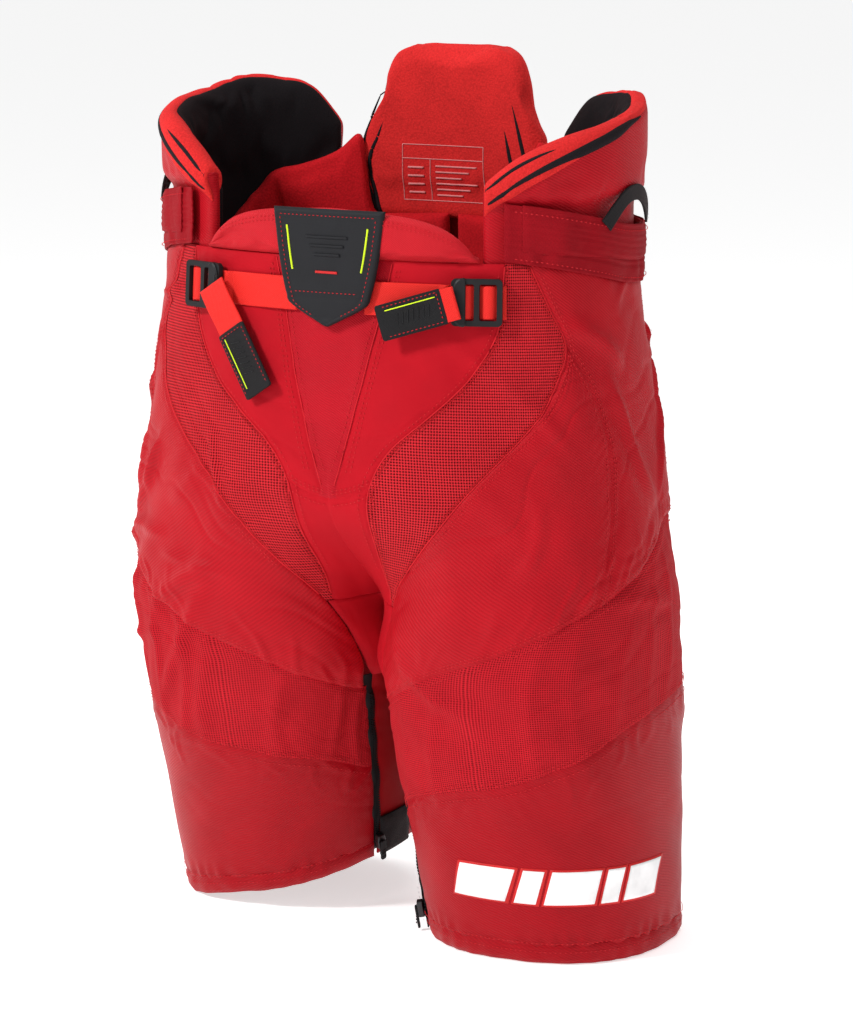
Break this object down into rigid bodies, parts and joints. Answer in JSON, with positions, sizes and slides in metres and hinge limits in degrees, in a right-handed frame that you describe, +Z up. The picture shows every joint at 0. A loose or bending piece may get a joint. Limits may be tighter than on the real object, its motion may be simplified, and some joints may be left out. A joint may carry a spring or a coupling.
{
  "type": "ice hockey pants",
  "caption": "Padded ice hockey pants with mesh inserts, webbing belt, elastic waistband, flexing side and spine pads, and zips inside the legs.",
  "frame": {"origin": "on the floor under the middle of the pants' bounding box, at the hems", "axes": "+Z up, the front faces -Y, the wearer's left is +X"},
  "size_m": [0.4368, 0.308, 0.687],
  "materials": {
    "nylon": "satin",
    "open_mesh": "matte",
    "woven_mesh": "matte",
    "stretch": "matte",
    "twill": "matte",
    "knit": "matte",
    "liner": "matte",
    "elastic": "matte",
    "webbing": "satin",
    "black_webbing": "matte",
    "plastic": "satin",
    "rubber": "satin",
    "zip": "satin",
    "metal": "satin",
    "guard": "satin"
  },
  "bodies": {
    "pants": {"left_hem_band": "nylon", "left_cuff_panel": "nylon", "left_mid_band": "woven_mesh", "left_inner_panel": "stretch", "left_zipper_tape": "zip", "left_zipper_guard": "black_webbing", "left_thigh_panel": "nylon", "left_side_panel": "nylon", "left_seat_panel": "nylon", "left_mesh_insert": "open_mesh", "left_front_panel": "nylon", "right_hem_band": "nylon", "right_cuff_panel": "nylon", "right_mid_band": "woven_mesh", "right_inner_panel": "stretch", "right_zipper_tape": "zip", "right_zipper_guard": "black_webbing", "right_thigh_panel": "nylon", "right_side_panel": "nylon", "right_seat_panel": "nylon", "right_mesh_insert": "open_mesh", "right_front_panel": "nylon", "front_gusset": "stretch", "fly_panel": "twill", "crotch_gusset": "stretch", "front_guard": "twill", "waist_badge": "rubber", "tailbone_guard": "guard", "left_waistband": "elastic", "left_kidney_base": "knit", "left_lumbar_pad": "knit", "left_waist_loop": "black_webbing", "left_thigh_guard": "guard", "left_hip_guard": "guard", "right_waistband": "elastic", "right_kidney_base": "knit", "right_lumbar_pad": "knit", "right_waist_loop": "black_webbing", "right_thigh_guard": "guard", "right_hip_guard": "guard", "left_belt_strap": "webbing", "left_buckle_anchor": "webbing", "right_belt_strap": "webbing", "right_buckle_anchor": "webbing"},
    "left_buckle": {"left_buckle": "plastic"},
    "left_tail": {"left_strap_tail": "webbing", "left_tail_tab": "rubber"},
    "left_slider": {"left_zip_slider": "metal"},
    "left_pull": {"left_zip_pull": "zip"},
    "left_kidney": {"left_kidney_pad": "knit", "left_kidney_liner": "liner"},
    "right_buckle": {"right_buckle": "plastic"},
    "right_tail": {"right_strap_tail": "webbing", "right_tail_tab": "rubber"},
    "right_slider": {"right_zip_slider": "metal"},
    "right_pull": {"right_zip_pull": "zip"},
    "right_kidney": {"right_kidney_pad": "knit", "right_kidney_liner": "liner"},
    "spine": {"spine_pad": "knit"}
  },
  "joints": [
    {"name": "left_buckle_tilt", "type": "hinge", "parent": "pants", "child": "left_buckle", "pos_m": [0.13678, -0.12007, 0.51223], "axis": [-0.0171, 0.0481, 0.9987], "range_deg": [0, 35]},
    {"name": "left_tail_swing", "type": "hinge", "parent": "left_buckle", "child": "left_tail", "pos_m": [0.10689, -0.13749, 0.51256], "axis": [0.178, -0.9828, 0.0483], "range_deg": [-12, 65]},
    {"name": "left_zip_slide", "type": "slide", "parent": "pants", "child": "left_slider", "axis": [-0.0858, -0.1929, 0.9775], "range_m": [0, 0.13]},
    {"name": "left_pull_swing", "type": "hinge", "parent": "left_slider", "child": "left_pull", "pos_m": [0.02294, -0.03691, 0.02057], "axis": [-0.4029, 0.904, 0.143], "range_deg": [0, 60]},
    {"name": "left_kidney_flex", "type": "hinge", "parent": "pants", "child": "left_kidney", "pos_m": [0.1852, -0.0262, 0.5875], "axis": [0, 1, 0], "range_deg": [0, 12], "stiffness_Nm_per_rad": 3},
    {"name": "right_buckle_tilt", "type": "hinge", "parent": "pants", "child": "right_buckle", "pos_m": [-0.12832, -0.12007, 0.51224], "axis": [-0.0174, -0.0488, -0.9987], "range_deg": [0, 35]},
    {"name": "right_tail_swing", "type": "hinge", "parent": "right_buckle", "child": "right_tail", "pos_m": [-0.09843, -0.13749, 0.51257], "axis": [-0.1781, -0.9828, 0.0486], "range_deg": [-30, 45]},
    {"name": "right_zip_slide", "type": "slide", "parent": "pants", "child": "right_slider", "axis": [0.1829, -0.3886, 0.9031], "range_m": [0, 0.13]},
    {"name": "right_pull_swing", "type": "hinge", "parent": "right_slider", "child": "right_pull", "pos_m": [-0.02861, 0.00411, 0.05771], "axis": [-0.3897, -0.872, -0.2963], "range_deg": [0, 60]},
    {"name": "right_kidney_flex", "type": "hinge", "parent": "pants", "child": "right_kidney", "pos_m": [-0.1768, -0.0262, 0.5875], "axis": [0, -1, 0], "range_deg": [0, 12], "stiffness_Nm_per_rad": 3},
    {"name": "spine_flex", "type": "hinge", "parent": "pants", "child": "spine", "pos_m": [0.0042, 0.074, 0.575], "axis": [-1, 0, 0], "range_deg": [-6, 14], "stiffness_Nm_per_rad": 4}
  ]
}
